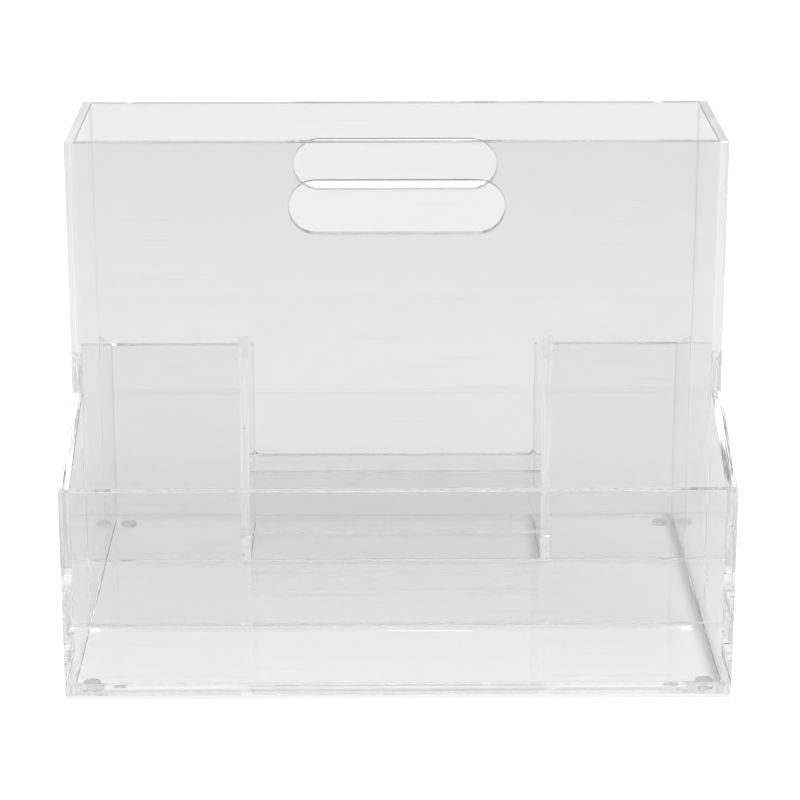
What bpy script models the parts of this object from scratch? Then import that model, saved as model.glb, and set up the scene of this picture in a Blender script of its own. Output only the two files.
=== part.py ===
"""A clear acrylic desk organizer, built the way a sheet-plastic shop builds it.

Flat sheets of one thickness are cut to outline, their edges are polished, and they are bonded on top of
a base plate. A low wall closes the front tray. Two tall panels with handle slots hold files upright
between them. Behind these, two dividers split the back into three pockets, and the middle pocket has a
low cross wall and a rear wall that is cut down low. Four bumper feet carry the whole.

Metres, +Z up, the front looks towards -Y. The origin is on the ground, under the middle of the footprint.
"""

import math

import bpy
from mathutils import Matrix, Vector

COLLECTION = "desk_organizer"

# ---- driving dimensions -------------------------------------------------------------------------------

overall_width = 0.318  # outside of one side panel to outside of the other
sheet = 0.005  # every panel is cut from sheet of this thickness

tray_depth = 0.073  # clear room from the front wall to the front tall panel
file_depth = 0.087  # clear room between the two tall panels
pocket_depth = 0.069  # clear room from the rear tall panel to the rear wall
middle_pocket_width = 0.154  # clear room between the two dividers
cross_wall_setback = 0.040  # clear room from the rear tall panel to the low cross wall

# Heights are measured from the underside of the base plate.
tall_height = 0.252  # top of the tall panels
low_height = 0.103  # top of the front wall and of the rear wall
front_shoulder = 0.127  # where the side panels' front slope ends, at the front tall panel
rear_shoulder = 0.1285  # where the side panels' and dividers' rear slope starts
pocket_wall_height = 0.039  # top of the low cross wall, and floor of the rear wall's cut-out

handle_length = 0.104  # end to end, with full-round ends
handle_height = 0.026
handle_margin = 0.019  # from the top edge of a tall panel to its handle slot
cut_out_radius = 0.003  # in the lower corners of the rear wall's cut-out

foot_diameter = 0.0085
foot_flat_diameter = 0.0055  # the part of a foot that stands on the desk
foot_rim = 0.0005  # height of a foot's straight rim, above its rounded side
foot_height = 0.002  # from the desk to the underside of the base plate
foot_inset = 0.012  # from an outer edge of the base plate to a foot's centre

joint = 0.0003  # a bonded joint's clearance, taken from the piece that butts against the other
edge_break = 0.0003  # the polished chamfer along every edge

arc_steps = 24  # points along a half circle
foot_steps = 32  # sides of a turned foot
foot_rounding = 6  # steps down a foot's rounded side

# ---- the planes that the pieces share -----------------------------------------------------------------

overall_depth = 4 * sheet + tray_depth + file_depth + pocket_depth
front = -overall_depth / 2
rear = overall_depth / 2
front_wall_back = front + sheet
front_tall_front = front_wall_back + tray_depth
front_tall_back = front_tall_front + sheet
rear_tall_front = front_tall_back + file_depth
rear_tall_back = rear_tall_front + sheet
cross_wall_front = rear_tall_back + cross_wall_setback
rear_wall_front = rear - sheet

side_inner = overall_width / 2 - sheet
divider_inner = middle_pocket_width / 2

base_bottom = foot_height
base_top = base_bottom + sheet
wall_bottom = base_top + joint
tall_top = base_bottom + tall_height
low_top = base_bottom + low_height
front_shoulder_top = base_bottom + front_shoulder
rear_shoulder_top = base_bottom + rear_shoulder
pocket_wall_top = base_bottom + pocket_wall_height
handle_centre = tall_top - handle_margin - handle_height / 2


# ---- materials ----------------------------------------------------------------------------------------


def clear_acrylic():
    material = bpy.data.materials.new("clear_acrylic")
    material.use_nodes = True
    shader = material.node_tree.nodes["Principled BSDF"]
    shader.inputs["Base Color"].default_value = (0.93, 0.95, 0.95, 1)
    shader.inputs["Roughness"].default_value = 0.02
    shader.inputs["Metallic"].default_value = 0.0
    shader.inputs["IOR"].default_value = 1.49
    shader.inputs["Alpha"].default_value = 0.35
    return material


def clear_polyurethane():
    material = bpy.data.materials.new("clear_polyurethane")
    material.use_nodes = True
    shader = material.node_tree.nodes["Principled BSDF"]
    shader.inputs["Base Color"].default_value = (0.55, 0.56, 0.57, 1)
    shader.inputs["Roughness"].default_value = 0.3
    shader.inputs["Metallic"].default_value = 0.0
    shader.inputs["Alpha"].default_value = 0.8
    return material


def coloured(obj, make_material):
    """Gives a piece a material of its own, so that each sub-part can be tinted apart."""
    material = make_material()
    material.name = f"{obj.name}_{material.name.split('.')[0]}"
    obj.data.materials.append(material)


# ---- outlines -----------------------------------------------------------------------------------------


def rectangle(left, right, low, high):
    return [(left, low), (right, low), (right, high), (left, high)]


def arc(centre_u, centre_v, radius, start_degrees, end_degrees, steps):
    """Points along an arc, both of its ends included."""
    points = []
    for step in range(steps + 1):
        angle = math.radians(start_degrees + (end_degrees - start_degrees) * step / steps)
        points.append((centre_u + radius * math.cos(angle), centre_v + radius * math.sin(angle)))
    return points


def full_round_slot(centre_v, length, height):
    """A slot along u with a half circle at each end."""
    radius = height / 2
    reach = length / 2 - radius
    right_end = arc(reach, centre_v, radius, -90, 90, arc_steps)
    left_end = arc(-reach, centre_v, radius, 90, 270, arc_steps)
    return right_end + left_end


def side_outline():
    """A side panel, as (y, z): low at both ends, full height between the tall panels."""
    start = front_wall_back + joint
    end = rear_wall_front - joint
    return [
        (start, wall_bottom),
        (end, wall_bottom),
        (end, low_top),
        (rear_tall_back, rear_shoulder_top),
        (rear_tall_back, tall_top),
        (front_tall_front, tall_top),
        (front_tall_front, front_shoulder_top),
        (start, low_top),
    ]


def divider_outline():
    """A pocket divider, as (y, z): its top edge slopes like the side panels' behind it."""
    start = rear_tall_back + joint
    end = rear_wall_front - joint
    return [(start, wall_bottom), (end, wall_bottom), (end, low_top), (start, rear_shoulder_top)]


def rear_wall_outline():
    """The rear wall, as (x, z): full width, cut down low across the middle pocket."""
    half = overall_width / 2
    reach = divider_inner - cut_out_radius
    floor = pocket_wall_top + cut_out_radius
    quarter = arc_steps // 2
    right_corner = arc(reach, floor, cut_out_radius, 0, -90, quarter)
    left_corner = arc(-reach, floor, cut_out_radius, -90, -180, quarter)
    return (
        [(-half, wall_bottom), (half, wall_bottom), (half, low_top), (divider_inner, low_top)]
        + right_corner
        + left_corner
        + [(-divider_inner, low_top), (-half, low_top)]
    )


# ---- pieces -------------------------------------------------------------------------------------------


def cut_sheet(collection, name, loops, position, normal):
    """A sheet cut to closed loops: the first is its outline, the others are holes through it.

    The sheet's middle plane stands at `position` along the axis that `normal` names. The loops are
    (x, y) on a flat sheet, (x, z) on a wall across the organizer and (y, z) on one that runs front to back.
    """
    curve = bpy.data.curves.new(name, "CURVE")
    curve.dimensions = "2D"
    curve.fill_mode = "BOTH"
    curve.extrude = sheet / 2
    for loop in loops:
        spline = curve.splines.new("POLY")
        spline.points.add(len(loop) - 1)
        for point, (u, v) in zip(spline.points, loop):
            point.co = (u, v, 0, 1)
        spline.use_cyclic_u = True

    turned = {
        "Z": Matrix.Identity(4),
        "Y": Matrix.Rotation(math.radians(90), 4, "X"),
        "X": Matrix(((0, 0, 1, 0), (1, 0, 0, 0), (0, 1, 0, 0), (0, 0, 0, 1))),
    }[normal]
    middle = {"X": Vector((1, 0, 0)), "Y": Vector((0, 1, 0)), "Z": Vector((0, 0, 1))}[normal] * position

    piece = bpy.data.objects.new(name, curve)
    piece.matrix_world = Matrix.Translation(middle) @ turned
    collection.objects.link(piece)

    weld = piece.modifiers.new("join_caps", "WELD")
    weld.merge_threshold = 0.00001
    chamfer = piece.modifiers.new("polished_edges", "BEVEL")
    chamfer.width = edge_break
    chamfer.segments = 1
    chamfer.limit_method = "ANGLE"
    chamfer.angle_limit = math.radians(30)
    coloured(piece, clear_acrylic)
    return piece


def base_plate(collection):
    half = overall_width / 2
    outline = rectangle(-half, half, front, rear)
    return cut_sheet(collection, "base_plate", [outline], base_bottom + sheet / 2, "Z")


def front_wall(collection):
    half = overall_width / 2
    outline = rectangle(-half, half, wall_bottom, low_top)
    return cut_sheet(collection, "front_wall", [outline], front + sheet / 2, "Y")


def rear_wall(collection):
    return cut_sheet(collection, "rear_wall", [rear_wall_outline()], rear - sheet / 2, "Y")


def side_panels(collection):
    for name, side in (("left_side_panel", -1), ("right_side_panel", 1)):
        cut_sheet(collection, name, [side_outline()], side * (side_inner + sheet / 2), "X")


def tall_panels(collection):
    half = side_inner - joint
    outline = rectangle(-half, half, wall_bottom, tall_top)
    slot = full_round_slot(handle_centre, handle_length, handle_height)
    for name, face in (("front_tall_panel", front_tall_front), ("rear_tall_panel", rear_tall_front)):
        cut_sheet(collection, name, [outline, slot], face + sheet / 2, "Y")


def dividers(collection):
    for name, side in (("left_divider", -1), ("right_divider", 1)):
        cut_sheet(collection, name, [divider_outline()], side * (divider_inner + sheet / 2), "X")


def low_cross_wall(collection):
    half = divider_inner - joint
    outline = rectangle(-half, half, wall_bottom, pocket_wall_top)
    return cut_sheet(collection, "low_cross_wall", [outline], cross_wall_front + sheet / 2, "Y")


def bumper_foot_mesh():
    """Half a section of a foot, from the middle of its top, out, and down its side to the flat it stands on."""
    radius = foot_diameter / 2
    flat = foot_flat_diameter / 2
    top = foot_height - joint
    shoulder = top - foot_rim
    profile = [(0, top), (radius, top), (radius, shoulder)]
    for step in range(1, foot_rounding + 1):
        angle = math.radians(90) * step / foot_rounding
        profile.append((flat + (radius - flat) * math.cos(angle), shoulder * (1 - math.sin(angle))))
    profile.append((0, 0))
    mesh = bpy.data.meshes.new("bumper_foot")
    edges = [(index, index + 1) for index in range(len(profile) - 1)]
    mesh.from_pydata([(r, 0, z) for r, z in profile], edges, [])
    return mesh


def bumper_feet(collection):
    mesh = bumper_foot_mesh()
    reach_x = overall_width / 2 - foot_inset
    reach_y = overall_depth / 2 - foot_inset
    for end, along in (("front", -1), ("rear", 1)):
        for side, across in (("left", -1), ("right", 1)):
            foot = bpy.data.objects.new(f"bumper_foot_{end}_{side}", mesh.copy())
            foot.location = (across * reach_x, along * reach_y, 0)
            collection.objects.link(foot)
            turned = foot.modifiers.new("turned", "SCREW")
            turned.axis = "Z"
            turned.steps = foot_steps
            turned.render_steps = foot_steps
            turned.use_merge_vertices = True
            turned.merge_threshold = 0.00001
            turned.use_smooth_shade = True
            coloured(foot, clear_polyurethane)


# ---- the assembly -------------------------------------------------------------------------------------


def main():
    for obj in list(bpy.data.objects):
        bpy.data.objects.remove(obj, do_unlink=True)
    collection = bpy.data.collections.new(COLLECTION)
    bpy.context.scene.collection.children.link(collection)

    base_plate(collection)
    front_wall(collection)
    rear_wall(collection)
    side_panels(collection)
    tall_panels(collection)
    dividers(collection)
    low_cross_wall(collection)
    bumper_feet(collection)


main()
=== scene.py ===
# %% [markdown]
# # A clear acrylic desk organizer
#
# This organizer is fourteen pieces: ten sheets of clear acrylic, bonded edge to face, and four small feet.
# Nothing on it is painted or patterned, so its whole look comes from four places: exact thin sheets, edges
# that were polished after cutting, joints that let light pass from one sheet into the next, and the small
# dust, scratches and bubbles that every real sheet has.
#
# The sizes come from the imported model, which stays where it is. Each sheet is made again here, because a
# clear part needs its joints closed up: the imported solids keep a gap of 0.3 mm, and in glass a gap shows.

import math

import bmesh
import bpy
from mathutils import Matrix, Vector


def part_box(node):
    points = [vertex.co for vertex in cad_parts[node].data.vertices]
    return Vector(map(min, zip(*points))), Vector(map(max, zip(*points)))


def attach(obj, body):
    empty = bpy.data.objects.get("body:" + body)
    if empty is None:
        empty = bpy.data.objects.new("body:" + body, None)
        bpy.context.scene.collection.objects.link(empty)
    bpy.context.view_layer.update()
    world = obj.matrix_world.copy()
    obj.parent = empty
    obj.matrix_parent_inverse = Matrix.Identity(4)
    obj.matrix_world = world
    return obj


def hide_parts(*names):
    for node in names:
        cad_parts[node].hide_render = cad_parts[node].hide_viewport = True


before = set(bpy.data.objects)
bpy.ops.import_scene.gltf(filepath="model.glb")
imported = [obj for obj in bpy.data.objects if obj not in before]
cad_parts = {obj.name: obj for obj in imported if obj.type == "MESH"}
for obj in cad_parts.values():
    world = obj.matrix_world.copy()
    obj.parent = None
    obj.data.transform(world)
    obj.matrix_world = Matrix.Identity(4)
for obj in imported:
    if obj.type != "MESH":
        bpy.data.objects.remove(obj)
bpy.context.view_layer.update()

# %% [markdown]
# ## Rendering clear sheets
#
# A ray that enters an edge of a sheet is mirrored from wall to wall inside it, often dozens of times, before
# it gets out. Blender stops after twelve bounces by default and shows black, so the limits go up here. The
# Standard view keeps a white floor white. The bright lines that clear sheets focus on a table could be traced
# as caustics, but that speckles. So caustics are switched off, and the clear material lets shadow rays
# straight through instead: the floor under the organizer then gets its light evenly.

# %% Light path limits
scene = bpy.context.scene
BOUNCES_IN_A_SHEET = 64
scene.cycles.max_bounces = BOUNCES_IN_A_SHEET
scene.cycles.transmission_bounces = BOUNCES_IN_A_SHEET
scene.cycles.glossy_bounces = BOUNCES_IN_A_SHEET
scene.cycles.diffuse_bounces = 3
scene.cycles.transparent_max_bounces = 96
scene.cycles.caustics_reflective = False
scene.cycles.caustics_refractive = False
scene.view_settings.view_transform = "Standard"
print("light may bounce", scene.cycles.max_bounces, "times inside the sheets")

# %% [markdown]
# ## Where everything is
#
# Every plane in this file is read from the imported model's boxes. `MILLIMETRE` keeps the small sizes, such as
# a polished corner, readable. `HAIR` is what is left between two bonded sheets: too little to see, and enough
# that Blender never finds two faces in the same place.

# %% Planes from the frame
MILLIMETRE = 0.001
HAIR = 0.02 * MILLIMETRE

base_low, base_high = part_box("base_plate")
front_wall_low, front_wall_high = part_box("front_wall")
rear_wall_low, rear_wall_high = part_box("rear_wall")
front_tall_low, front_tall_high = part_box("front_tall_panel")
rear_tall_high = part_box("rear_tall_panel")[1]
cross_low, cross_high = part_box("low_cross_wall")

SHEET = base_high.z - base_low.z
wall_foot = base_high.z + HAIR
low_top = front_wall_high.z
tall_top = front_tall_high.z
side_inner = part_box("right_side_panel")[0].x
divider_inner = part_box("right_divider")[0].x
print("sheet", round(SHEET / MILLIMETRE, 2), "mm, side panels", round(2 * side_inner, 4), "m apart")


# %% [markdown]
# ## Fine marks: dust, hairline scratches and handling haze
#
# Clean acrylic is never perfectly clean. It draws dust by static, wiping it leaves hairline scratches, and
# fingers leave a faint haze that changes how sharp a reflection is. The three effects are built once each, as
# node groups that read the object's own coordinates in metres, and every material places them with its own
# amounts. They only put out masks, so that the shader they feed stays in the material.

# %% A starter for node groups
def new_group(name, inputs, output):
    """An empty shader node group with number inputs, given as {name: default}, and one number output."""
    group = bpy.data.node_groups.new(name, "ShaderNodeTree")
    for label, default in inputs.items():
        socket = group.interface.new_socket(label, in_out="INPUT", socket_type="NodeSocketFloat")
        socket.default_value = default
    group.interface.new_socket("Vector", in_out="INPUT", socket_type="NodeSocketVector")
    group.interface.new_socket(output, in_out="OUTPUT", socket_type="NodeSocketFloat")
    entry = group.nodes.new("NodeGroupInput")
    leave = group.nodes.new("NodeGroupOutput")
    return group, entry, leave


def math_node(tree, operation, first, second, clamp=False):
    """One Math node. Each input is a socket to link or a plain number."""
    node = tree.nodes.new("ShaderNodeMath")
    node.operation = operation
    node.use_clamp = clamp
    for socket, value in zip(node.inputs, (first, second)):
        if isinstance(value, (int, float)):
            socket.default_value = value
        else:
            tree.links.new(value, socket)
    return node.outputs[0]


# %% [markdown]
# Dust could be thousands of tiny meshes, but a pattern costs nothing and works on every sheet. This one is a
# Voronoi texture: each cell has one feature point, and a speck is drawn where the surface is near it. A
# second rule keeps only the cells whose random colour is low, so that the specks are scattered and not in a
# grid.

# %% Dust specks
def build_dust_specks():
    amounts = {"Cell Size": 0.008, "Speck Size": 0.0003, "Share": 0.3}
    group, entry, leave = new_group("dust_specks", amounts, "Mask")
    cells = group.nodes.new("ShaderNodeTexVoronoi")
    cells.feature = "F1"
    scale = math_node(group, "DIVIDE", 1.0, entry.outputs["Cell Size"])
    group.links.new(scale, cells.inputs["Scale"])
    group.links.new(entry.outputs["Vector"], cells.inputs["Vector"])
    distance = math_node(group, "MULTIPLY", cells.outputs["Distance"], entry.outputs["Cell Size"])
    near = math_node(group, "LESS_THAN", distance, entry.outputs["Speck Size"])
    split = group.nodes.new("ShaderNodeSeparateColor")
    group.links.new(cells.outputs["Color"], split.inputs["Color"])
    chosen = math_node(group, "LESS_THAN", split.outputs["Red"], entry.outputs["Share"])
    group.links.new(math_node(group, "MULTIPLY", near, chosen), leave.inputs["Mask"])
    return group


dust_specks = build_dust_specks()
print(dust_specks.name, "has", len(dust_specks.nodes), "nodes")

# %% [markdown]
# A hairline scratch is long and thin. A Wave texture would draw them all parallel, so the pattern is a noise
# that is stretched: a Mapping node squeezes the coordinates along one direction, and only the crests of the
# noise are kept. Three copies, each turned its own way, cross each other as real scratches do.

# %% Hairline scratches
SCRATCH_TURNS = ((0.35, 0.0), (-0.6, 4.0), (1.25, 9.0))  # each with a shift, so that no two sets match
SCRATCH_SQUEEZE = 0.012
HIGHEST_CREST = 0.76


def build_hairline_scratches():
    group, entry, leave = new_group("hairline_scratches", {"Fineness": 900.0, "Share": 0.1}, "Mask")
    total = None
    for turn, offset in SCRATCH_TURNS:
        turned = group.nodes.new("ShaderNodeMapping")
        turned.inputs["Rotation"].default_value = (turn, turn * 0.7, turn * 1.3)
        turned.inputs["Location"].default_value = (offset, offset, offset)
        turned.inputs["Scale"].default_value = (SCRATCH_SQUEEZE, 1.0, 1.0)
        group.links.new(entry.outputs["Vector"], turned.inputs["Vector"])
        noise = group.nodes.new("ShaderNodeTexNoise")
        noise.inputs["Detail"].default_value = 1.0
        group.links.new(entry.outputs["Fineness"], noise.inputs["Scale"])
        group.links.new(turned.outputs["Vector"], noise.inputs["Vector"])
        level = math_node(group, "SUBTRACT", HIGHEST_CREST, entry.outputs["Share"])
        crest = math_node(group, "SUBTRACT", noise.outputs["Fac"], level)
        line = math_node(group, "MULTIPLY", crest, 12.0, clamp=True)
        total = line if total is None else math_node(group, "MAXIMUM", total, line)
    group.links.new(total, leave.inputs["Mask"])
    return group


hairline_scratches = build_hairline_scratches()
print(hairline_scratches.name, "has", len(hairline_scratches.nodes), "nodes")

# %% [markdown]
# Handling haze is what fingers leave: soft clouds a few centimetres across. A smudge image would show real
# finger marks, but a noise needs no file and never repeats. It only changes the roughness, by very little: a
# clear sheet that is visibly rough looks like frosted glass.

# %% Handling haze
def build_handling_haze():
    group, entry, leave = new_group("handling_haze", {"Patch Size": 0.05, "Threshold": 0.45}, "Mask")
    cloud = group.nodes.new("ShaderNodeTexNoise")
    cloud.inputs["Detail"].default_value = 3.0
    cloud.inputs["Roughness"].default_value = 0.6
    group.links.new(math_node(group, "DIVIDE", 1.0, entry.outputs["Patch Size"]), cloud.inputs["Scale"])
    group.links.new(entry.outputs["Vector"], cloud.inputs["Vector"])
    above = math_node(group, "SUBTRACT", cloud.outputs["Fac"], entry.outputs["Threshold"])
    group.links.new(math_node(group, "MULTIPLY", above, 4.0, clamp=True), leave.inputs["Mask"])
    return group


handling_haze = build_handling_haze()
print(handling_haze.name, "has", len(handling_haze.nodes), "nodes")


# %% [markdown]
# ## The clear acrylic
#
# Acrylic bends light a little less than window glass: its index is 1.49. A Glass shader could do it, but the
# Principled shader with its Transmission Weight at 1 bends and mirrors the same and is understood outside
# Blender too. The material has a second branch. Cycles asks it how much light a shadow ray or a soft bounce
# from the floor loses, and there a Transparent shader answers. A polished face reflects four percent of what
# meets it head on and nearly everything at a grazing angle, and the Transparent colour follows that rule.
# `loss` scales it: the walls send most of what they reflect down onto the floor again, so a low wall or the
# base costs the floor almost nothing.

# %% Clear material base
ACRYLIC_INDEX = 1.49
HEAD_ON_REFLECTION = ((ACRYLIC_INDEX - 1) / (ACRYLIC_INDEX + 1)) ** 2
print("head on, a face reflects", round(100 * HEAD_ON_REFLECTION, 1), "percent")


def number_range(tree, mask, low, high):
    """A Map Range node: low where the mask is 0, high where it is 1."""
    node = tree.nodes.new("ShaderNodeMapRange")
    node.inputs["To Min"].default_value = low
    node.inputs["To Max"].default_value = high
    tree.links.new(mask, node.inputs["Value"])
    return node.outputs["Result"]


def colour_between(tree, mask, clean, marked):
    """A Mix node: the clean colour where the mask is 0, the marked colour where it is 1."""
    node = tree.nodes.new("ShaderNodeMix")
    node.data_type = "RGBA"
    node.inputs[6].default_value = clean
    node.inputs[7].default_value = marked
    tree.links.new(mask, node.inputs[0])
    return node.outputs[2]


def place_group(tree, group, vector, **settings):
    """Places a node group in a material, with its own values, and gives its output."""
    node = tree.nodes.new("ShaderNodeGroup")
    node.node_tree = group
    for label, value in settings.items():
        node.inputs[label.replace("_", " ")].default_value = value
    tree.links.new(vector, node.inputs["Vector"])
    return node.outputs[0]


def clear_material(name, loss=1.0):
    """A clear, refracting material. Shadow and diffuse rays go straight through, dimmed by `loss`."""
    material = bpy.data.materials.new(name)
    material.use_nodes = True
    tree = material.node_tree
    shader = tree.nodes["Principled BSDF"]
    shader.inputs["Transmission Weight"].default_value = 1.0
    shader.inputs["IOR"].default_value = ACRYLIC_INDEX
    shader.inputs["Metallic"].default_value = 0.0
    output = tree.nodes["Material Output"]
    straight = tree.nodes.new("ShaderNodeBsdfTransparent")
    slant = tree.nodes.new("ShaderNodeLayerWeight")
    slant.inputs["Blend"].default_value = 0.5
    grazing = math_node(tree, "POWER", slant.outputs["Facing"], 5.0)
    extra = math_node(tree, "MULTIPLY", grazing, loss * (HEAD_ON_REFLECTION - 1))
    passed = math_node(tree, "ADD", extra, 1 - loss * HEAD_ON_REFLECTION, clamp=True)
    tree.links.new(passed, straight.inputs["Color"])
    paths = tree.nodes.new("ShaderNodeLightPath")
    soft = math_node(tree, "MAXIMUM", paths.outputs["Is Shadow Ray"], paths.outputs["Is Diffuse Ray"])
    mix = tree.nodes.new("ShaderNodeMixShader")
    tree.links.new(soft, mix.inputs["Fac"])
    tree.links.new(shader.outputs["BSDF"], mix.inputs[1])
    tree.links.new(straight.outputs["BSDF"], mix.inputs[2])
    tree.links.new(mix.outputs["Shader"], output.inputs["Surface"])
    coordinates = tree.nodes.new("ShaderNodeTexCoord")
    return material, tree, shader, coordinates.outputs["Object"]


# %% [markdown]
# The wide faces are as the sheet was cast: optically smooth. They get dust, a few hairlines and the haze of
# handling. The marks could be bumps, but a bump bends everything seen through the sheet, so they only dim it
# a little, through the base colour. The same finish is built three times, and its clean colours are painted
# shade: every sheet is the same acrylic, but the two tall panels are tinted darker than the low walls, and the
# base plate is left the clearest, to dim what is seen through each.

# %% Cast sheet faces
MARKED = (0.45, 0.46, 0.46, 1)


def build_cast_face(name, clean, loss):
    material, tree, shader, place = clear_material(name, loss)
    dust = place_group(tree, dust_specks, place, Cell_Size=0.009, Speck_Size=0.00028, Share=0.4)
    scratch = place_group(tree, hairline_scratches, place, Fineness=900.0, Share=0.04)
    haze = place_group(tree, handling_haze, place, Patch_Size=0.06, Threshold=0.5)
    marks = math_node(tree, "MAXIMUM", dust, math_node(tree, "MULTIPLY", scratch, 0.15))
    colour = colour_between(tree, marks, clean, MARKED)
    tree.links.new(colour, shader.inputs["Base Color"])
    tree.links.new(number_range(tree, haze, 0.0, 0.012), shader.inputs["Roughness"])
    return material


# Painted shade: one acrylic, tinted darker on the tall panels and clearest on the base, to dim what is seen
# through each.
tall_face = build_cast_face("cast_acrylic_tall", (0.89, 0.894, 0.893, 1), 1.0)
low_face = build_cast_face("cast_acrylic_low", (0.945, 0.948, 0.948, 1), 0.0)
base_face = build_cast_face("cast_acrylic_base", (0.99, 0.992, 0.992, 1), 0.0)
print("cast faces:", [finish.name for finish in (tall_face, low_face, base_face)])

# %% [markdown]
# A cut edge is milled and then polished with a flame or a diamond cutter. It ends up glossy, but fine lines
# from the cutter stay along it. They could be modelled as grooves, but they are far finer than the edge is
# wide. So they are a noise again, stretched by a Mapping node in the material: short across the sheet and
# long along its edge.

# %% Cutter lines
def build_cutter_lines():
    group, entry, leave = new_group("cutter_lines", {"Contrast": 4.0}, "Mask")
    noise = group.nodes.new("ShaderNodeTexNoise")
    noise.inputs["Scale"].default_value = 1.0
    noise.inputs["Detail"].default_value = 2.0
    group.links.new(entry.outputs["Vector"], noise.inputs["Vector"])
    centred = math_node(group, "SUBTRACT", noise.outputs["Fac"], 0.5)
    spread = math_node(group, "MULTIPLY", centred, entry.outputs["Contrast"])
    group.links.new(math_node(group, "ADD", spread, 0.5, clamp=True), leave.inputs["Mask"])
    return group


cutter_lines = build_cutter_lines()
print(cutter_lines.name, "has", len(cutter_lines.nodes), "nodes")

# %% [markdown]
# Light that comes out of an edge has often run the whole width or height of the sheet, and acrylic swallows a
# little on the way, more the longer the run. Volume absorption would work that out by itself, but it needs
# closed sheets of one material, and these have joints in their faces. So each kind of edge has its own
# colours, darker than a face, and they are mostly painted shade and light: the tall panels' rims are painted
# much the darkest, and the base's edge is painted the lightest, because the table lights it from below. The
# lines bend the light a little too, through a Bump node. `axis` is the direction across the sheet.

# %% Polished edges
LINES_PER_METRE = 1100
LINE_LENGTH_PER_METRE = 8


def build_polished_edge(name, axis, clean, lined, depth):
    material, tree, shader, place = clear_material(name)
    stretched = tree.nodes.new("ShaderNodeMapping")
    stretched.inputs["Scale"].default_value = [
        LINES_PER_METRE if letter == axis else LINE_LENGTH_PER_METRE for letter in "XYZ"
    ]
    tree.links.new(place, stretched.inputs["Vector"])
    lines = place_group(tree, cutter_lines, stretched.outputs["Vector"], Contrast=4.0)
    haze = place_group(tree, handling_haze, place, Patch_Size=0.012, Threshold=0.4)
    tree.links.new(colour_between(tree, lines, clean, lined), shader.inputs["Base Color"])
    tree.links.new(number_range(tree, haze, 0.01, 0.04), shader.inputs["Roughness"])
    bump = tree.nodes.new("ShaderNodeBump")
    bump.inputs["Strength"].default_value = 0.6
    bump.inputs["Distance"].default_value = depth
    tree.links.new(lines, bump.inputs["Height"])
    tree.links.new(bump.outputs["Normal"], shader.inputs["Normal"])
    return material


# Painted shade and light: the tall rims' colours are painted dark, and the base edge's nearly white for the
# table's light below it.
EDGE_CLEAR = (0.925, 0.93, 0.93, 1)
EDGE_LINED = (0.78, 0.79, 0.79, 1)
TALL_CLEAR = (0.6, 0.61, 0.61, 1)
TALL_LINED = (0.45, 0.46, 0.46, 1)
LOW_CLEAR = (0.9, 0.905, 0.905, 1)
LOW_LINED = (0.7, 0.71, 0.71, 1)
BASE_CLEAR = (0.99, 0.99, 0.99, 1)
BASE_LINED = (0.9, 0.905, 0.905, 1)
FINE_LINES = 0.004 * MILLIMETRE
COARSE_LINES = 0.013 * MILLIMETRE
edge_finish = {
    "X": build_polished_edge("edge_of_side_sheets", "X", EDGE_CLEAR, EDGE_LINED, COARSE_LINES),
    "Y": build_polished_edge("edge_of_low_walls", "Y", LOW_CLEAR, LOW_LINED, FINE_LINES),
    "Z": build_polished_edge("edge_of_base", "Z", BASE_CLEAR, BASE_LINED, FINE_LINES),
}
tall_edge = build_polished_edge("edge_of_tall_panels", "Y", TALL_CLEAR, TALL_LINED, FINE_LINES)
print("polished edges:", [finish.name for finish in [*edge_finish.values(), tall_edge]])

# %% [markdown]
# Where two sheets are bonded there is no surface any more: the cement melts both and they set as one. The
# sheets could be joined into one mesh, but this model keeps each one as a piece of its own. So the faces
# that meet are clear, by an alpha near 0, and light passes from sheet to sheet unbent. What shows is the
# bubbles that the cement trapped and faint streaks of cement. The joints behind the side panels get a grey
# cloud that is painted shade: it darkens the table in the organizer's shadow, seen through them. The joints
# under the walls' feet are a little greyer than the others.
#
# Light that enters a wall through its wide face meets the underside of the base at so flat an angle that it
# is mirrored, and it never reaches the table under the wall's foot. Straight shadow rays miss that. So the
# joints there stop a `shade` of them, which draws a soft dark line on the table along the foot. The key light
# stands at +X, so the line of the side wall there falls inwards, where it shows. The other side wall's line
# would fall past the edge of the base, so its joint stays clear.
#
# The same build makes the adhesive of the feet, which is cloudy all over and shows as a grey disc.

# %% Bonded joints
BUBBLE_RADIUS = 0.45 * MILLIMETRE
STREAKS_PER_METRE = (900, 900, 30)  # fine across, long upright


def build_joint(name, cloud_low, cloud_high, tone=0.4, cell=0.004, share=0.25, shade=0.0):
    """A joint that is clear, with bubbles, and with upright streaks of grey cloud between two amounts: faint
    cement, or painted shade behind the side panels.
    """
    material = bpy.data.materials.new(name)
    material.use_nodes = True
    tree = material.node_tree
    shader = tree.nodes["Principled BSDF"]
    shader.inputs["Base Color"].default_value = (tone, tone, tone, 1)
    coordinates = tree.nodes.new("ShaderNodeTexCoord")
    place = coordinates.outputs["Object"]
    bubbles = place_group(tree, dust_specks, place, Cell_Size=cell, Speck_Size=BUBBLE_RADIUS, Share=share)
    upright = tree.nodes.new("ShaderNodeMapping")
    upright.inputs["Scale"].default_value = STREAKS_PER_METRE
    tree.links.new(place, upright.inputs["Vector"])
    streaks = place_group(tree, cutter_lines, upright.outputs["Vector"], Contrast=5.0)
    cloud = number_range(tree, streaks, cloud_low, cloud_high)
    tree.links.new(number_range(tree, bubbles, 0.25, 0.12), shader.inputs["Roughness"])
    solid = math_node(tree, "MAXIMUM", cloud, math_node(tree, "MULTIPLY", bubbles, 0.6))
    paths = tree.nodes.new("ShaderNodeLightPath")
    caught = math_node(tree, "MULTIPLY", paths.outputs["Is Shadow Ray"], shade)
    tree.links.new(math_node(tree, "MAXIMUM", solid, caught), shader.inputs["Alpha"])
    return material


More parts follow.
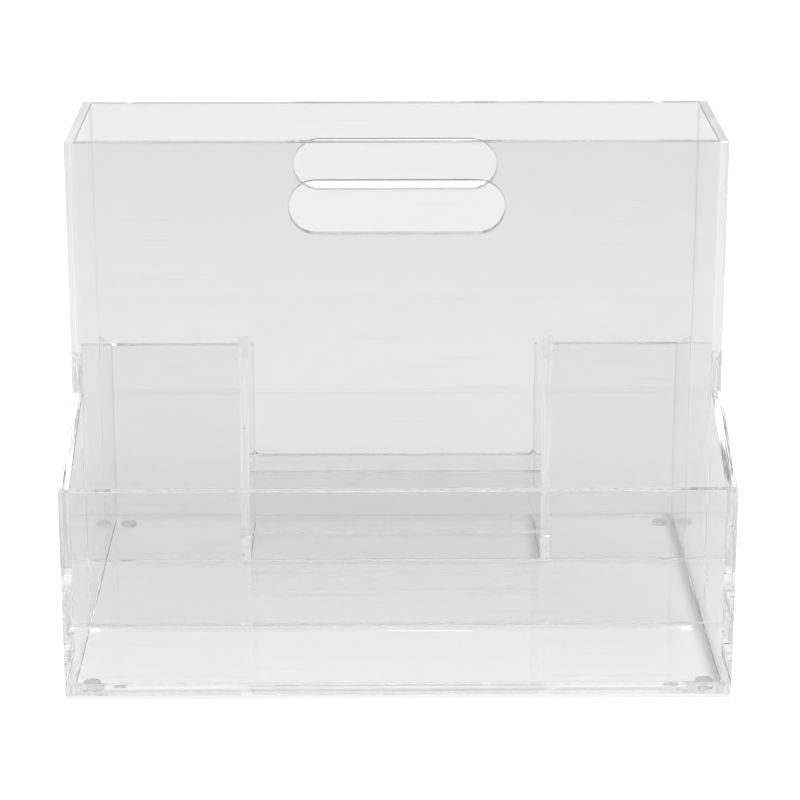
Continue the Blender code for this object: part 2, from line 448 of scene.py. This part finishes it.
bonded_joint = build_joint("bonded_joint", 0.0, 0.04)
# Painted shade: this grey cloud darkens the shaded table seen through the joints behind the side panels.
shaded_rear_joint = build_joint("shaded_rear_joint", 0.08, 0.34)
wall_foot_joint = build_joint("wall_foot_joint", 0.05, 0.16, shade=0.15)
side_foot_joint = build_joint("side_foot_joint", 0.0, 0.04, shade=0.5)
bubbly_joint = build_joint("bubbly_joint", 0.03, 0.12, tone=0.3, cell=0.0016, share=0.6)
foot_adhesive = build_joint("foot_adhesive", 0.48, 0.64, tone=0.46)
joint_finishes = [bonded_joint, shaded_rear_joint, wall_foot_joint, bubbly_joint, side_foot_joint]
print("joints:", [finish.name for finish in joint_finishes])

# %% [markdown]
# ## Making a sheet
#
# A sheet could be a cube that is scaled and cut. Here each one starts as its flat outline and is extruded by
# its thickness, as it was sawn from stock, and so a slope or a slot is as easy as a straight side. Its
# exposed corners are then broken by a small bevel, as polishing leaves them. Corners inside a bonded joint
# stay sharp, because there the neighbour fills them. Where two pieces meet is worked out from the packed
# model: the place where their boxes come within half a millimetre of each other.

# %% Where sheets meet
REACH = 0.5 * MILLIMETRE
SHEETS = [name for name in sorted(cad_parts) if not name.startswith("bumper_foot")]
FEET = sorted(set(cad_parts) - set(SHEETS))
FOOT_STEPS = 48
FOOT_RIM = 0.5 * MILLIMETRE

foot_low, foot_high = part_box(FEET[0])
FOOT_RADIUS = (foot_high.x - foot_low.x) / 2
FOOT_CONTACT = FOOT_RADIUS - FOOT_RIM / 4
foot_places = [sum(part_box(node), Vector()) / 2 for node in FEET]


def meeting_boxes(node):
    """For each neighbour that `node` is bonded to: its axis, and the joint's lowest and highest corner."""
    boxes = []
    low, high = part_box(node)
    for other in SHEETS:
        other_low, other_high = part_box(other)
        joint_low = Vector(map(max, low, other_low))
        joint_high = Vector(map(min, high, other_high))
        width = joint_high - joint_low
        if other != node and min(width) > -REACH:
            boxes.append((min(range(3), key=lambda axis: width[axis]), joint_low, joint_high))
    return boxes


def inside(point, low, high, reach=REACH):
    return all(a - reach <= p <= b + reach for p, a, b in zip(point, low, high))


print("neighbours:", {node: len(meeting_boxes(node)) for node in SHEETS})

# %% Outline to sheet
EDGE_BREAK = 0.35 * MILLIMETRE
CORNER_ANGLE = math.radians(40)  # two faces that meet at more than this are a corner to break
SQUARE_ON = 0.99  # a face whose normal has this cosine with an axis looks along it
FACE, EDGE, CLEAR_JOINT, REAR_JOINT, WALL_FOOT, FRONT_FOOT, SIDE_FOOT = range(7)
AXES = {"X": Vector((1, 0, 0)), "Y": Vector((0, 1, 0)), "Z": Vector((0, 0, 1))}


def on_wall(axis, position, u, v):
    """A point of a flat outline, put on the plane at `position` along `axis`."""
    return {"X": (position, u, v), "Y": (u, position, v), "Z": (u, v, position)}[axis]


def thickened(bm, axis, depth):
    """Extrudes every face of a flat bmesh to a closed sheet."""
    made = bmesh.ops.extrude_face_region(bm, geom=bm.faces[:])
    moved = [item for item in made["geom"] if isinstance(item, bmesh.types.BMVert)]
    bmesh.ops.translate(bm, verts=moved, vec=AXES[axis] * depth)
    bmesh.ops.recalc_face_normals(bm, faces=bm.faces)


def sheet_from_outline(corners, axis, low, high):
    """A sheet with these corners, from `low` to `high` along `axis`."""
    bm = bmesh.new()
    bm.faces.new([bm.verts.new(on_wall(axis, low, u, v)) for u, v in corners])
    thickened(bm, axis, high - low)
    return bm


def break_edges(bm, node):
    """Bevels the sharp edges that no joint covers."""
    joints = meeting_boxes(node)
    exposed = []
    for edge in bm.edges:
        if len(edge.link_faces) != 2 or edge.calc_face_angle() < CORNER_ANGLE:
            continue
        ends = [vert.co for vert in edge.verts]
        if not any(all(inside(end, low, high) for end in ends) for _, low, high in joints):
            exposed.append(edge)
    shape = {"offset": EDGE_BREAK, "segments": 2, "profile": 0.5, "clamp_overlap": True}
    bmesh.ops.bevel(bm, geom=exposed, affect="EDGES", material=-1, **shape)


def joint_finish(thin, low, high):
    """Which finish a joint has: it goes by where the joint is and how it lies."""
    # The joints behind the side panels get the painted shade.
    if thin == 1 and low.y > rear_wall_low.y - REACH and abs(low.x + high.x) / 2 > side_inner:
        return REAR_JOINT
    if thin == 2 and high.x - low.x > high.y - low.y:
        return FRONT_FOOT if high.y < front_wall_high.y + REACH else WALL_FOOT
    if thin == 2 and low.x > 0:
        return SIDE_FOOT
    return CLEAR_JOINT


def mark_faces(bm, node, axis):
    """Cuts the faces along the borders of each joint, and gives every face its finish."""
    joints = meeting_boxes(node)
    for thin, low, high in joints:
        for cut_axis in {0, 1, 2} - {thin}:
            for corner in (low, high):
                normal = Vector([float(index == cut_axis) for index in range(3)])
                everything = bm.verts[:] + bm.edges[:] + bm.faces[:]
                bmesh.ops.bisect_plane(bm, geom=everything, dist=1e-6, plane_co=corner, plane_no=normal)
    for face in bm.faces:
        along = abs(face.normal.dot(AXES[axis]))
        face.material_index = FACE if along > SQUARE_ON else EDGE
        centre = face.calc_center_median()
        for thin, low, high in joints:
            if abs(face.normal[thin]) > SQUARE_ON and inside(centre, low, high):
                face.material_index = joint_finish(thin, low, high)
        under_foot = any((centre - foot).xy.length < FOOT_CONTACT for foot in foot_places)
        if axis == "Z" and face.normal.z < -SQUARE_ON and under_foot:
            face.material_index = CLEAR_JOINT


# %% [markdown]
# The last step is the same for every piece. The bmesh becomes a mesh, its round parts are shaded smooth, and
# the piece rides on the organizer's one body, hides the imported solid it stands for and carries its
# materials.

# %% Finishing a piece
SMOOTH_ANGLE = math.radians(12)

collection = bpy.data.collections.new("desk_organizer")
scene.collection.children.link(collection)


def finished_piece(name, bm, node, materials):
    mesh = bpy.data.meshes.new(name)
    bm.to_mesh(mesh)
    bm.free()
    for material in materials:
        mesh.materials.append(material)
    mesh.shade_smooth()
    mesh.set_sharp_from_angle(angle=SMOOTH_ANGLE)
    piece = bpy.data.objects.new(name, mesh)
    collection.objects.link(piece)
    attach(piece, "root")
    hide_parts(node)
    print(name, len(mesh.polygons), "faces")


def finished_sheet(node, bm, axis):
    break_edges(bm, node)
    mark_faces(bm, node, axis)
    face, edge = low_face, edge_finish[axis]
    if "tall" in node:
        face, edge = tall_face, tall_edge
    if axis == "Z":
        face = base_face
    materials = [face, edge] + joint_finishes
    finished_piece(f"{node}_sheet", bm, node, materials)


# %% [markdown]
# ## The base plate
#
# One plain rectangle under everything. The walls stand on it, and their joints show from above as outlines.
# The feet are stuck under it. An adhesive that wets the sheet lets light through where bare acrylic would
# mirror it, so the underside gets a disc of joint at each foot. The discs could be cut in with a knife tool,
# but it is simpler to draw them first: triangle fill closes the area around the four rings, and each ring is
# then filled on its own.

# %% Base plate
def rectangle(left, right, low, high):
    return [(left, low), (right, low), (right, high), (left, high)]


bm = bmesh.new()
rings = []
for foot in foot_places:
    under = Matrix.Translation((foot.x, foot.y, base_low.z))
    made = bmesh.ops.create_circle(bm, segments=FOOT_STEPS, radius=FOOT_CONTACT, matrix=under)
    rings.append(made["verts"])
outline = rectangle(base_low.x, base_high.x, base_low.y, base_high.y)
corners = [bm.verts.new((u, v, base_low.z)) for u, v in outline]
for first, second in zip(corners, corners[1:] + corners[:1]):
    bm.edges.new((first, second))
bmesh.ops.triangle_fill(bm, use_beauty=True, edges=bm.edges[:])
for ring in rings:
    bm.faces.new(ring)
thickened(bm, "Z", SHEET)
finished_sheet("base_plate", bm, "Z")

# %% [markdown]
# ## Front wall and low cross wall
#
# Both are rectangles. The front wall is as wide as the base and covers the ends of the side panels. The cross
# wall fits between the dividers. A cube would do for either, but drawn as outlines they share every last step
# with the sheets that aren't rectangles.

# %% Front wall and cross wall
outline = rectangle(front_wall_low.x, front_wall_high.x, wall_foot, low_top)
finished_sheet("front_wall", sheet_from_outline(outline, "Y", front_wall_low.y, front_wall_high.y), "Y")

outline = rectangle(HAIR - divider_inner, divider_inner - HAIR, wall_foot, cross_high.z)
finished_sheet("low_cross_wall", sheet_from_outline(outline, "Y", cross_low.y, cross_high.y), "Y")

# %% [markdown]
# ## Rear wall
#
# The rear wall is cut down low across the middle pocket, so that things can be reached from behind. A Boolean
# could take the cut-out away, but the outline can simply have eight corners. The two inner corners at the
# bottom of the cut-out are rounded afterwards by a bevel on the two edges that run through the sheet there.

# %% Rear wall
CUT_OUT_RADIUS = 3 * MILLIMETRE

outline = [
    (rear_wall_low.x, wall_foot),
    (rear_wall_high.x, wall_foot),
    (rear_wall_high.x, low_top),
    (divider_inner, low_top),
    (divider_inner, cross_high.z),
    (-divider_inner, cross_high.z),
    (-divider_inner, low_top),
    (rear_wall_low.x, low_top),
]
bm = sheet_from_outline(outline, "Y", rear_wall_low.y, rear_wall_high.y)
corners = []
for edge in bm.edges:
    first, second = (vert.co for vert in edge.verts)
    runs_through = abs(first.y - second.y) > SHEET / 2
    if runs_through and abs(abs(first.x) - divider_inner) < HAIR and abs(first.z - cross_high.z) < HAIR:
        corners.append(edge)
bmesh.ops.bevel(
    bm, geom=corners, offset=CUT_OUT_RADIUS, segments=8, profile=0.5, affect="EDGES", material=-1
)
finished_sheet("rear_wall", bm, "Y")

# %% [markdown]
# ## Side panels and dividers
#
# A side panel is low at both ends, for the tray and the pockets, and full height in the middle, with a slope
# between. It could be three pieces, but the real one shows no joint and was cut from one sheet. The heights
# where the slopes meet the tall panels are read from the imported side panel: the corner points at those
# planes that lie below the top.

# %% Side panels
def shoulder_height(node, plane):
    """Height of the slope's upper end: the middle of the node's corner points at this depth."""
    heights = [
        vert.co.z
        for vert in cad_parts[node].data.vertices
        if abs(vert.co.y - plane) < 2 * REACH and low_top < vert.co.z < tall_top - 10 * MILLIMETRE
    ]
    return (min(heights) + max(heights)) / 2


front_shoulder = shoulder_height("right_side_panel", front_tall_low.y)
rear_shoulder = shoulder_height("right_side_panel", rear_tall_high.y)
print("shoulders at", round(front_shoulder, 4), "and", round(rear_shoulder, 4), "m")

front_joint = front_wall_high.y + HAIR
rear_joint = rear_wall_low.y - HAIR
side_outline = [
    (front_joint, wall_foot),
    (rear_joint, wall_foot),
    (rear_joint, low_top),
    (rear_tall_high.y, rear_shoulder),
    (rear_tall_high.y, tall_top),
    (front_tall_low.y, tall_top),
    (front_tall_low.y, front_shoulder),
    (front_joint, low_top),
]
for side in ("left", "right"):
    low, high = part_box(f"{side}_side_panel")
    finished_sheet(f"{side}_side_panel", sheet_from_outline(side_outline, "X", low.x, high.x), "X")

# %% [markdown]
# A divider stands between the rear tall panel and the rear wall, and follows the same rear slope as the side
# panels. The left one could be a mirrored copy of the right one, but a copy that is mirrored by its scale is
# not clean geometry, so both are drawn in a loop.

# %% Dividers
divider_front = rear_tall_high.y + HAIR
divider_outline = [
    (divider_front, wall_foot),
    (rear_joint, wall_foot),
    (rear_joint, low_top),
    (divider_front, rear_shoulder),
]
for side in ("left", "right"):
    low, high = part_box(f"{side}_divider")
    finished_sheet(f"{side}_divider", sheet_from_outline(divider_outline, "X", low.x, high.x), "X")

# %% [markdown]
# ## Tall panels with handle slots
#
# Each tall panel has a slot to carry the organizer by, with a half circle at each end. A Boolean could cut
# it, but two outlines and triangle fill give the same hole with clean edges for the bevel. The slot starts as
# a circle, turned by half a step so that no point lies exactly at the top: its two halves can then be pulled
# apart, and the longest steps become the straight runs. Triangle fill closes the area between the panel's
# border and the slot, and the extrusion does the rest.

# %% Tall panels
HANDLE_LENGTH = 104 * MILLIMETRE
HANDLE_HEIGHT = 26 * MILLIMETRE
HANDLE_MARGIN = 19 * MILLIMETRE
HANDLE_STEPS = 72


def flat_panel_with_slot(half_width, foot, top):
    """A flat panel in the XZ plane with a full-round slot through it."""
    bm = bmesh.new()
    radius = HANDLE_HEIGHT / 2
    centre = Matrix.Translation((0, 0, top - HANDLE_MARGIN - radius))
    upright = Matrix.Rotation(math.radians(90), 4, "X")
    half_step = Matrix.Rotation(math.pi / HANDLE_STEPS, 4, "Z")
    slot = bmesh.ops.create_circle(
        bm, cap_ends=False, segments=HANDLE_STEPS, radius=radius, matrix=centre @ upright @ half_step
    )["verts"]
    reach = HANDLE_LENGTH / 2 - radius
    bmesh.ops.translate(bm, verts=[vert for vert in slot if vert.co.x > 0], vec=(reach, 0, 0))
    bmesh.ops.translate(bm, verts=[vert for vert in slot if vert.co.x < -radius * 0.001], vec=(-reach, 0, 0))
    corners = [bm.verts.new((u, 0, v)) for u, v in rectangle(-half_width, half_width, foot, top)]
    for first, second in zip(corners, corners[1:] + corners[:1]):
        bm.edges.new((first, second))
    bmesh.ops.triangle_fill(bm, use_beauty=True, edges=bm.edges[:])
    return bm


for node in ("front_tall_panel", "rear_tall_panel"):
    low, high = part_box(node)
    bm = flat_panel_with_slot(side_inner - HAIR, wall_foot, tall_top)
    bmesh.ops.translate(bm, verts=bm.verts[:], vec=(0, low.y, 0))
    thickened(bm, "Y", high.y - low.y)
    finished_sheet(node, bm, "Y")

# %% [markdown]
# ## Bumper feet
#
# The feet are moulded from clear soft polyurethane: domes with a flat underside. The material is less clear
# than acrylic and has a satin skin, which a higher roughness gives. Dust clings to it, so the specks lie
# closer.

# %% Soft foot material
def build_soft_foot():
    material, tree, shader, place = clear_material("clear_polyurethane")
    dust = place_group(tree, dust_specks, place, Cell_Size=0.0012, Speck_Size=0.0002, Share=0.5)
    haze = place_group(tree, handling_haze, place, Patch_Size=0.002, Threshold=0.35)
    colour = colour_between(tree, dust, (0.72, 0.73, 0.73, 1), (0.5, 0.5, 0.49, 1))
    tree.links.new(colour, shader.inputs["Base Color"])
    tree.links.new(number_range(tree, haze, 0.18, 0.32), shader.inputs["Roughness"])
    return material


soft_foot = build_soft_foot()
print("foot material:", soft_foot.name)

# %% [markdown]
# A squashed sphere would be near the shape of a foot, but it has no flat top or underside. So half the
# section is a short run of points, spun once around. The flat top carries the adhesive.

# %% Bumper feet
FOOT_FLAT_SHARE = 0.65  # of its radius that stands on the desk
FOOT_ROUNDING = 8

for node in FEET:
    low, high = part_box(node)
    centre = (low + high) / 2
    radius = (high.x - low.x) / 2
    flat = radius * FOOT_FLAT_SHARE
    top = base_low.z - HAIR
    shoulder = high.z - FOOT_RIM
    profile = [(0, top), (FOOT_CONTACT, top), (radius, top - FOOT_RIM / 4), (radius, shoulder)]
    for step in range(1, FOOT_ROUNDING + 1):
        angle = math.radians(90) * step / FOOT_ROUNDING
        profile.append((flat + (radius - flat) * math.cos(angle), shoulder * (1 - math.sin(angle))))
    profile.append((0, 0))
    bm = bmesh.new()
    verts = [bm.verts.new((centre.x + r, centre.y, z)) for r, z in profile]
    edges = [bm.edges.new(pair) for pair in zip(verts, verts[1:])]
    bmesh.ops.spin(
        bm,
        geom=verts + edges,
        cent=(centre.x, centre.y, 0),
        axis=(0, 0, 1),
        angle=math.radians(360),
        steps=FOOT_STEPS,
        use_merge=True,
    )
    bmesh.ops.remove_doubles(bm, verts=bm.verts[:], dist=HAIR / 2)
    bmesh.ops.recalc_face_normals(bm, faces=bm.faces)
    for face in bm.faces:
        face.material_index = int(face.normal.z > SQUARE_ON)
    finished_piece(f"{node}_dome", bm, node, [soft_foot, foot_adhesive])

# %% [markdown]
# ## Floor, light and camera
#
# A clear object has no colour of its own: it shows what is around it. The floor is a plain pale table, darker
# far in front, because the upright sheets mirror that part at the viewer and would look milky. A white floor
# would be simpler, but then the sheets all but vanish. So only the table seen beside the object is lifted to
# pure white, as in a catalogue picture, by a Light Path node that knows the rays that come straight from the
# camera. What is seen through the sheets, and in the gap under the base, keeps its true tone.

# %% Floor
FLOOR_REACH = 6  # metres to each side
TABLE_WHITE = (0.78, 0.78, 0.78, 1)
TABLE_LIFTED = (1.2, 1.2, 1.2, 1)
TABLE_FAR_FRONT = (0.42, 0.42, 0.42, 1)
FALL_OFF_STARTS = -0.45  # metres; the front of the organizer is at about -0.12
FALL_OFF_ENDS = -1.1


def build_floor():
    bm = bmesh.new()
    bmesh.ops.create_grid(bm, x_segments=8, y_segments=8, size=FLOOR_REACH)
    mesh = bpy.data.meshes.new("studio_floor")
    bm.to_mesh(mesh)
    bm.free()
    material = bpy.data.materials.new("pale_table")
    material.use_nodes = True
    tree = material.node_tree
    shader = tree.nodes["Principled BSDF"]
    shader.inputs["Roughness"].default_value = 0.9
    shader.inputs["Specular IOR Level"].default_value = 0.0
    coordinates = tree.nodes.new("ShaderNodeTexCoord")
    split = tree.nodes.new("ShaderNodeSeparateXYZ")
    tree.links.new(coordinates.outputs["Object"], split.inputs["Vector"])
    fall = tree.nodes.new("ShaderNodeMapRange")
    fall.interpolation_type = "SMOOTHSTEP"
    fall.inputs["From Min"].default_value = FALL_OFF_STARTS
    fall.inputs["From Max"].default_value = FALL_OFF_ENDS
    tree.links.new(split.outputs["Y"], fall.inputs["Value"])
    colour = colour_between(tree, fall.outputs["Result"], TABLE_WHITE, TABLE_FAR_FRONT)
    paths = tree.nodes.new("ShaderNodeLightPath")
    across = math_node(tree, "ABSOLUTE", split.outputs["X"], 0.0)
    deep = math_node(tree, "ABSOLUTE", split.outputs["Y"], 0.0)
    beside = math_node(tree, "GREATER_THAN", across, base_high.x)
    before = math_node(tree, "GREATER_THAN", deep, base_high.y)
    around = math_node(tree, "MAXIMUM", beside, before)
    lift = math_node(tree, "MULTIPLY", around, paths.outputs["Is Camera Ray"])
    lifted = tree.nodes.new("ShaderNodeMix")
    lifted.data_type = "RGBA"
    lifted.inputs[7].default_value = TABLE_LIFTED
    tree.links.new(lift, lifted.inputs[0])
    tree.links.new(colour, lifted.inputs[6])
    tree.links.new(lifted.outputs[2], shader.inputs["Base Color"])
    mesh.materials.append(material)
    floor = bpy.data.objects.new("studio_floor", mesh)
    scene.collection.objects.link(floor)
    return floor


floor = build_floor()
print("the table is", round(floor.dimensions.x, 1), "m wide")

# %% [markdown]
# The studio could be lamps and cards around the table, but every lamp would show as a square in the sheets. A
# World that is worked out from the direction alone gives the same soft light with nothing to see. Its walls
# are bright up to a band above the horizon and dark over it. The dark part is what draws the rims, which
# mirror it. One small soft box hangs overhead and a little behind: the slopes of the side panels catch it,
# and its edge falls across the right one, which is why that slope is streaked and the left one is white. The
# key light comes from the front right, so the left side is a little darker.

# %% Studio light
SKY_BANDS = (  # height of a direction as the sine of its elevation, and how bright the studio is there
    (0.42, 1.0),
    (0.56, 0.10),
)
FRONT_DIM = 0.4  # how bright the studio is at the camera's side, as a share of the far side
FRONT_DIM_ENDS = (-0.8, 0.2)  # from front to back, where the dimming is full and where it has gone
SOFT_BOX_PLACE = (0.12, 0.30, 0.946)  # as a direction from the organizer
SOFT_BOX_REACH = (0.9692, 0.9710)  # cosines of its outer and inner radius
SOFT_BOX_BRIGHTNESS = 3.0
KEY_STRENGTH = 3.75
KEY_SOFTNESS = 35  # degrees across
KEY_HEIGHT = 46  # degrees above the table
KEY_TURN = 24  # degrees to the right of the front


def build_world():
    world = bpy.data.worlds.new("studio")
    world.use_nodes = True
    tree = world.node_tree
    background = tree.nodes["Background"]
    coordinates = tree.nodes.new("ShaderNodeTexCoord")
    direction = coordinates.outputs["Generated"]
    split = tree.nodes.new("ShaderNodeSeparateXYZ")
    tree.links.new(direction, split.inputs["Vector"])
    ramp = tree.nodes.new("ShaderNodeMapRange")
    (ramp.inputs["From Min"].default_value, ramp.inputs["To Min"].default_value) = SKY_BANDS[0]
    (ramp.inputs["From Max"].default_value, ramp.inputs["To Max"].default_value) = SKY_BANDS[1]
    tree.links.new(split.outputs["Z"], ramp.inputs["Value"])
    sides = tree.nodes.new("ShaderNodeMapRange")
    sides.interpolation_type = "SMOOTHSTEP"
    sides.inputs["From Min"].default_value = FRONT_DIM_ENDS[0]
    sides.inputs["From Max"].default_value = FRONT_DIM_ENDS[1]
    sides.inputs["To Min"].default_value = FRONT_DIM
    tree.links.new(split.outputs["Y"], sides.inputs["Value"])
    walls = math_node(tree, "MULTIPLY", ramp.outputs["Result"], sides.outputs["Result"])
    facing = tree.nodes.new("ShaderNodeVectorMath")
    facing.operation = "DOT_PRODUCT"
    facing.inputs[1].default_value = SOFT_BOX_PLACE
    tree.links.new(direction, facing.inputs[0])
    box = tree.nodes.new("ShaderNodeMapRange")
    box.interpolation_type = "SMOOTHSTEP"
    box.inputs["From Min"].default_value = SOFT_BOX_REACH[0]
    box.inputs["From Max"].default_value = SOFT_BOX_REACH[1]
    box.inputs["To Max"].default_value = SOFT_BOX_BRIGHTNESS
    tree.links.new(facing.outputs["Value"], box.inputs["Value"])
    tree.links.new(math_node(tree, "ADD", walls, box.outputs["Result"]), background.inputs["Color"])
    scene.world = world


def build_key_light():
    light = bpy.data.lights.new("key_light", "SUN")
    light.energy = KEY_STRENGTH
    light.angle = math.radians(KEY_SOFTNESS)
    lamp = bpy.data.objects.new("key_light", light)
    lamp.rotation_euler = (math.radians(90 - KEY_HEIGHT), 0, math.radians(KEY_TURN))
    scene.collection.objects.link(lamp)


build_world()
build_key_light()
print("key light", KEY_STRENGTH, "from", KEY_HEIGHT, "degrees up and", KEY_TURN, "to the right")

# %% [markdown]
# The camera stands in front of the organizer, well above it, and looks down at it. A short lens close by
# would also fit it in, but the long lens keeps the upright edges nearly parallel, as in a product picture.

# %% Camera
CAMERA_PLACE = (-0.0123, -1.3843, 0.5497)
CAMERA_DOWN = 17.61  # degrees
CAMERA_TURN = 0.59  # degrees, to the right
CAMERA_LENS = 128.8  # millimetres
CAMERA_FILM = 36  # millimetres wide

camera = bpy.data.cameras.new("camera")
camera.lens = CAMERA_LENS
camera.sensor_width = CAMERA_FILM
camera.clip_start = 0.05
camera.clip_end = 50
viewer = bpy.data.objects.new("camera", camera)
viewer.location = CAMERA_PLACE
viewer.rotation_euler = (math.radians(90 - CAMERA_DOWN), 0, math.radians(-CAMERA_TURN))
scene.collection.objects.link(viewer)
scene.camera = viewer
print("camera", round(viewer.location.length, 3), "m from the middle of the base")
